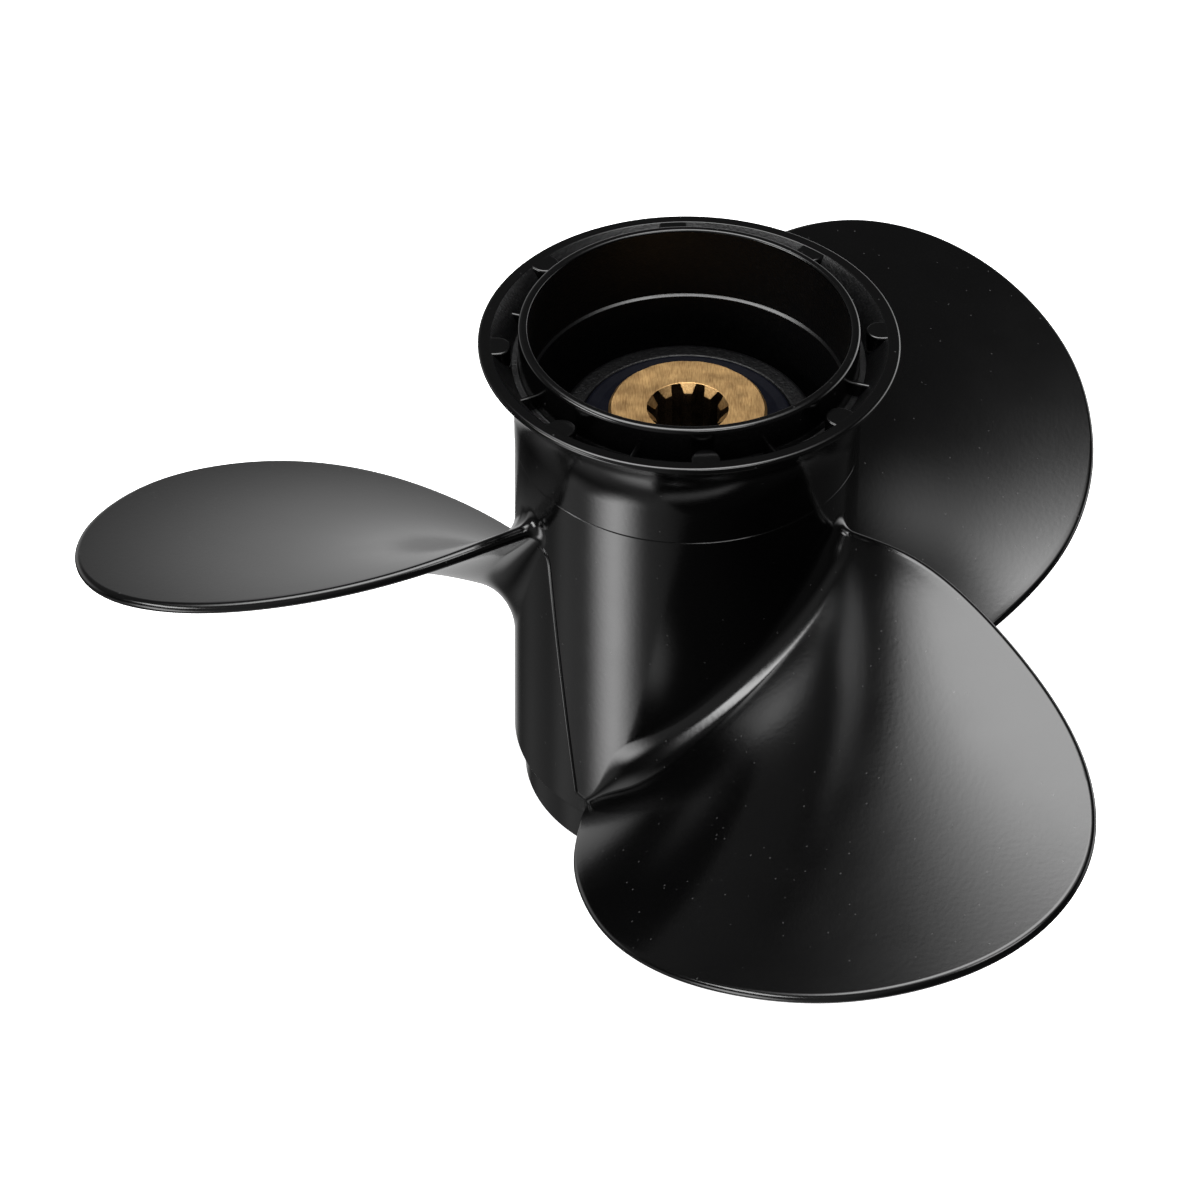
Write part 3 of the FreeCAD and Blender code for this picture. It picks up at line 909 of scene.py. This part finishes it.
def three_times(name, node, first_deg, geometry, material):
    """One casting feature, made once for each blade."""
    vertices, faces, normals = geometry
    for n in range(BLADE_COUNT):
        degrees = first_deg + BLADE_STEP_DEG * n
        obj = make_object(
            "%s_%d" % (name, n + 1), turned(vertices, degrees), faces, turned(normals, degrees),
            [material],
        )
        finish_piece(obj, "casting", "painted_casting", "%s_%d" % (node, n + 1))


def around_flare(name, node, first_deg, part):
    """One small part repeated round the flare's pocket, as one piece."""
    part_vertices, part_faces, part_normals = part
    vertices, faces, normals = [], [], []
    for n in range(PAD_COUNT):
        degrees = first_deg + 360.0 / PAD_COUNT * n
        start = n * len(part_vertices)
        vertices.append(turned(part_vertices, degrees))
        normals.append(turned(part_normals, degrees))
        faces += [tuple(start + i for i in face) for face in part_faces]
    obj = make_object(name, np.concatenate(vertices), faces, np.concatenate(normals), [PAINT])
    return finish_piece(obj, "casting", "painted_casting", node)


def parting_ridges():
    """A fine raised line on the barrel, from one blade's root to the next."""
    bends = [(math.radians(a) * BARREL_FRONT_R, z, bend) for a, z, bend in RIDGE_PATH]
    path = evenly(rounded(bends), RIDGE_STEPS)
    tangent = unit(np.gradient(path, axis=0))
    across = np.stack([-tangent[:, 1], tangent[:, 0]], axis=1)
    width = np.linspace(*RIDGE_WIDTHS, RIDGE_STEPS)[:, None]
    loops = []
    for side, lift in RIDGE_SHAPE:
        at = path + across * width * side
        radius = barrel_radius(at[:, 1]) + lift
        turn = at[:, 0] / BARREL_FRONT_R
        loops.append(np.stack([radius * np.cos(turn), radius * np.sin(turn), at[:, 1]], axis=1))
    points = np.swapaxes(np.array(loops), 0, 1)
    three_times("raised_seam", "parting_ridge", 0.0, capped_tube(points), PAINT)


def flange_pads():
    """Pads with a round inner end and a bevelled top, each running on into the flare's wall."""
    half = PAD_WIDTH / 2
    outline = rounded([
        (PAD_INNER_R, -half, half * 0.98), (PAD_OUTER_R, -half, 0.3), (PAD_OUTER_R, half, 0.3),
        (PAD_INNER_R, half, half * 0.98),
    ])
    middle = np.array([PAD_INNER_R + half, 0])
    top_z = PAD_TOP_Z - PAD_LOWERED
    bevel_z = top_z - PAD_BEVEL
    # each ring of the pad as (share of the outline's size, height), from the foot to the top
    rings = [(1.0, z) for z in np.linspace(POCKET_FLOOR_Z - 0.2, bevel_z, 8)[:-1]]
    for angle in np.linspace(0, math.pi / 2, 5):
        shrink = 1 - PAD_BEVEL / half * (1 - math.cos(angle))
        rings.append((shrink, bevel_z + PAD_BEVEL * math.sin(angle)))
    rings += [(0.6, top_z), (0.3, top_z)]
    points = []
    for shrink, z in rings:
        plan = middle + (outline - middle) * shrink
        reach = np.linalg.norm(plan, axis=1)
        within = flare_radius(min(z, LIP_Z), FLARE_WALL / 2)
        plan = plan * np.minimum(1, within / reach)[:, None]
        points.append(np.concatenate([plan, np.full((len(plan), 1), z)], axis=1))
    return around_flare("lip_pads", "flange_pads", PAD_FIRST_DEG, capped_tube(np.array(points)))


def flange_ribs():
    """Short ribs from the tube to the flare, half way between the pads."""
    half = RIB_THICK / 2
    low = POCKET_FLOOR_Z - 0.3
    outline = rounded([
        (-half, low, 0.1), (half, low, 0.1), (half * RIB_TOP_SHARE, RIB_TOP_Z, 0.4),
        (-half * RIB_TOP_SHARE, RIB_TOP_Z, 0.4),
    ])
    start = TUBE_R - 0.5
    reach = np.array([flare_radius(z, FLARE_WALL / 2) for z in outline[:, 1]])
    points = []
    for share in np.linspace(0, 1, 6):
        radius = start + (reach - start) * share
        points.append(np.stack([radius, outline[:, 0], outline[:, 1]], axis=1))
    first = PAD_FIRST_DEG + 180.0 / PAD_COUNT
    return around_flare("lip_ribs", "flange_ribs", first, capped_tube(np.array(points)))


def hub_webs():
    """Radial webs with small fillets at both of their ends."""
    half = WEB_THICK / 2
    outline = rounded([
        (-half, WEB_FRONT_Z, WEB_ROUND), (half, WEB_FRONT_Z, WEB_ROUND),
        (half, WEB_AFT_Z, WEB_ROUND), (-half, WEB_AFT_Z, WEB_ROUND),
    ])
    tangent = unit(np.roll(outline, -1, 0) - np.roll(outline, 1, 0))
    outward = np.stack([tangent[:, 1], -tangent[:, 0]], axis=1)
    turn = np.linspace(0, math.pi / 2, 7)
    rise = WEB_FILLET * (1 - np.cos(turn))
    spreads = WEB_FILLET * (1 - np.sin(turn))
    # each loop as (radius, how far its fillet spreads), from inside the hub to inside the barrel
    loops = [(INNER_HUB_R - 1.0, WEB_FILLET)]
    loops += zip(INNER_HUB_R + rise, spreads)
    loops += zip(BORE_R - rise[::-1], spreads[::-1])
    loops.append((BORE_R + 1.0, WEB_FILLET))
    points = []
    for radius, spread in loops:
        loop = outline + outward * spread
        depth = np.sqrt(radius ** 2 - loop[:, 0] ** 2)
        points.append(np.stack([depth, loop[:, 0], loop[:, 1]], axis=1))
    three_times("web", "hub_web", WEB_FIRST_DEG, capped_tube(np.array(points)), CAST)


outer_hub()
inner_hub()
cushion_bush()
splined_sleeve()
three_times("painted_blade", "blade", 0.0, blade_geometry(), PAINT)
parting_ridges()
flange_pads()
flange_ribs()
hub_webs()


# ---- studio ----

def camera():
    data = bpy.data.cameras.new("camera")
    data.lens = LENS_MM
    data.sensor_width = SENSOR_MM
    data.clip_start = 0.01
    obj = bpy.data.objects.new("camera", data)
    obj.location = CAMERA_POSITION
    obj.rotation_euler = (CAMERA_AIM - CAMERA_POSITION).to_track_quat("-Z", "Y").to_euler()
    bpy.context.scene.collection.objects.link(obj)
    bpy.context.scene.camera = obj


FLOOR_REACH = 4.0


def floor():
    """A plain white floor under the rim, seen from above by the camera only."""
    corners = [(-1, -1), (1, -1), (1, 1), (-1, 1)]
    mesh = bpy.data.meshes.new("floor")
    points = [(x * FLOOR_REACH, y * FLOOR_REACH, RIM_Z * MM) for x, y in corners]
    mesh.from_pydata(points, [], [(0, 1, 2, 3)])
    material = bpy.data.materials.new("floor_white")
    material.use_nodes = True
    shader = material.node_tree.nodes["Principled BSDF"]
    shader.inputs["Base Color"].default_value = (0.9, 0.9, 0.9, 1)
    shader.inputs["Emission Color"].default_value = (1, 1, 1, 1)
    shader.inputs["Emission Strength"].default_value = 1.0
    nodes = Nodes(material.node_tree)
    clear = nodes.add("ShaderNodeBsdfTransparent")
    below = nodes.add("ShaderNodeNewGeometry").outputs["Backfacing"]
    mix = nodes.add("ShaderNodeMixShader", {0: below, 1: shader.outputs[0], 2: clear.outputs[0]})
    output = material.node_tree.nodes["Material Output"]
    material.node_tree.links.new(mix.outputs[0], output.inputs["Surface"])
    mesh.materials.append(material)
    obj = bpy.data.objects.new("floor", mesh)
    bpy.context.scene.collection.objects.link(obj)
    obj.visible_glossy = False
    obj.visible_diffuse = False
    obj.visible_shadow = False


# Lights, by direction from the object: azimuth counter-clockwise from +X seen from above, and
# elevation, in degrees. The camera looks from azimuth -90.
AMBIENT = 0.03
OVERHEAD_STRENGTH = 8.8
OVERHEAD_AT = (175.0, 84.0)
# Brightness of the overhead panel against the share of a quarter turn away from its middle
OVERHEAD_FALL = [
    (0.0, 1.0), (0.24, 0.95), (0.295, 0.47), (0.335, 0.23), (0.375, 0.08), (0.42, 0.022),
    (0.47, 0.008), (0.56, 0.004), (1.0, 0.001),
]
# The panel is cut back towards the camera: that direction, the cosines of the angle from it
# between which the cut comes in, and what is left behind it
FRONT_CUT_AT = (-80.0, 0.0)
FRONT_CUT_FROM, FRONT_CUT_TO = 0.06, 0.20
FRONT_CUT_LEFT = 0.27
# Boxes: azimuth, half width, softness, lowest and highest elevation, their softness, strength
BOXES = [
    (88.0, 23.0, 12.0, -70.0, 9.0, 12.0, 0.60),
    (-168.0, 16.0, 8.0, -48.0, -24.0, 8.0, 0.28),
    (163.0, 28.0, 14.0, -50.0, -38.0, 6.0, 0.13),
    (-118.0, 20.0, 16.0, -60.0, 45.0, 10.0, 0.28),
    (-55.0, 50.0, 30.0, -60.0, 20.0, 10.0, 0.035),
    (35.0, 26.0, 14.0, -14.0, 12.0, 8.0, 2.6),
    (138.0, 28.0, 14.0, -20.0, 4.0, 8.0, 0.6),
    (135.0, 40.0, 20.0, 12.0, 34.0, 8.0, 0.07),
    (0.0, 190.0, 1.0, -90.0, -62.0, 8.0, 0.14),
    (0.0, 190.0, 1.0, -90.0, -74.0, 6.0, 0.9),
]
# Bars: the directions of both ends, half width, softness, strength
BARS = [
    ((-150.0, -12.0), (-132.0, -46.0), 8.5, 9.0, 5.9),
    ((-138.0, 18.0), (-173.0, 30.0), 5.5, 3.5, 13.0),
    ((-85.0, 55.0), (-42.0, 50.0), 6.0, 5.0, 8.0),
]
# Discs: direction, half width, softness, strength
DISCS = [
    ((-3.0, 57.0), 7.0, 11.0, 1.7),
]


def pointing(azimuth, elevation):
    """The unit vector in a direction given in degrees."""
    a, e = math.radians(azimuth), math.radians(elevation)
    return Vector((math.cos(e) * math.cos(a), math.cos(e) * math.sin(a), math.sin(e)))


class Sky(Nodes):
    """Node calls that give the brightness of a light in the direction of a ray."""

    def __init__(self, tree):
        super().__init__(tree)
        self.ray = self.add("ShaderNodeTexCoord").outputs["Generated"]
        parts = self.add("ShaderNodeSeparateXYZ", {"Vector": self.ray})
        self.x, self.y, z = (parts.outputs[n] for n in "XYZ")
        self.elevation = self.degrees("ARCSINE", z)
        self.level = self.math("SQRT", self.math("SUBTRACT", 1.0, self.math("MULTIPLY", z, z)))

    def degrees(self, operation, value):
        return self.math("MULTIPLY", self.math(operation, value), 180 / math.pi)

    def along(self, axis):
        """Cosine of the angle between a ray and this direction."""
        return self.add(
            "ShaderNodeVectorMath", {0: self.ray, 1: axis}, operation="DOT_PRODUCT"
        ).outputs["Value"]

    def within(self, value, half, soft, strength=1.0):
        """The strength where the value is under half, falling softly to nothing past it."""
        return self.remap(value, half - soft, half + soft, strength, 0.0, True)

    def azimuth_from(self, azimuth):
        """Degrees of azimuth between a ray and this one."""
        a = math.radians(azimuth)
        reach = self.math(
            "ADD", self.math("MULTIPLY", self.x, math.cos(a)),
            self.math("MULTIPLY", self.y, math.sin(a)),
        )
        ratio = self.math("DIVIDE", reach, self.math("MAXIMUM", self.level, 1e-4))
        ratio = self.math("MINIMUM", self.math("MAXIMUM", ratio, -1.0), 1.0)
        return self.degrees("ARCCOSINE", ratio)

    def box(self, azimuth, half, soft, low, high, soft_ends, strength):
        side = self.within(self.azimuth_from(azimuth), half, soft)
        foot = self.remap(self.elevation, low - soft_ends, low + soft_ends, 0.0, 1.0, True)
        head = self.within(self.elevation, high, soft_ends)
        both = self.math("MULTIPLY", self.math("MULTIPLY", side, foot), head)
        return self.math("MULTIPLY", both, strength)

    def disc(self, middle, half, soft, strength):
        off = self.degrees("ARCCOSINE", self.along(pointing(*middle)))
        return self.within(off, half, soft, strength)

    def bar(self, start, end, half, soft, strength):
        first, last = pointing(*start), pointing(*end)
        off_line = self.degrees("ARCSINE", self.along(first.cross(last).normalized()))
        beside = self.math("ABSOLUTE", off_line)
        off = self.degrees("ARCCOSINE", self.along((first + last).normalized()))
        length = self.within(off, math.degrees(first.angle(last)) / 2, soft, strength)
        return self.math("MULTIPLY", self.within(beside, half, soft), length)

    def overhead(self):
        off = self.degrees("ARCCOSINE", self.along(pointing(*OVERHEAD_AT)))
        ramp = self.add("ShaderNodeValToRGB", {"Fac": self.math("DIVIDE", off, 90.0)})
        elements = ramp.color_ramp.elements
        while len(elements) < len(OVERHEAD_FALL):
            elements.new(0.5)
        for element, (at, value) in zip(elements, OVERHEAD_FALL):
            element.position = at
            element.color = (value, value, value, 1)
        bright = self.math("MULTIPLY", ramp.outputs["Color"], OVERHEAD_STRENGTH)
        left = self.remap(
            self.along(pointing(*FRONT_CUT_AT)), FRONT_CUT_FROM, FRONT_CUT_TO, 1.0, FRONT_CUT_LEFT,
            True,
        )
        return self.math("MULTIPLY", bright, left)


def studio():
    """Soft boxes and fills as brightness by direction, and plain white for the camera."""
    world = bpy.data.worlds.new("studio")
    world.use_nodes = True
    bpy.context.scene.world = world
    background = world.node_tree.nodes["Background"]
    sky = Sky(world.node_tree)
    lights = [sky.box(*light) for light in BOXES]
    lights += [sky.bar(*light) for light in BARS]
    lights += [sky.disc(*light) for light in DISCS]
    total = sky.overhead()
    for light in lights:
        total = sky.math("ADD", total, light)
    total = sky.math("ADD", total, AMBIENT)
    seen = sky.add("ShaderNodeLightPath").outputs["Is Camera Ray"]
    lighting = sky.math("MULTIPLY", total, sky.math("SUBTRACT", 1.0, seen))
    sky.tree.links.new(sky.math("ADD", lighting, seen), background.inputs["Strength"])
    background.inputs["Color"].default_value = (1, 1, 1, 1)


camera()
floor()
studio()
bpy.context.scene.view_settings.view_transform = "Standard"
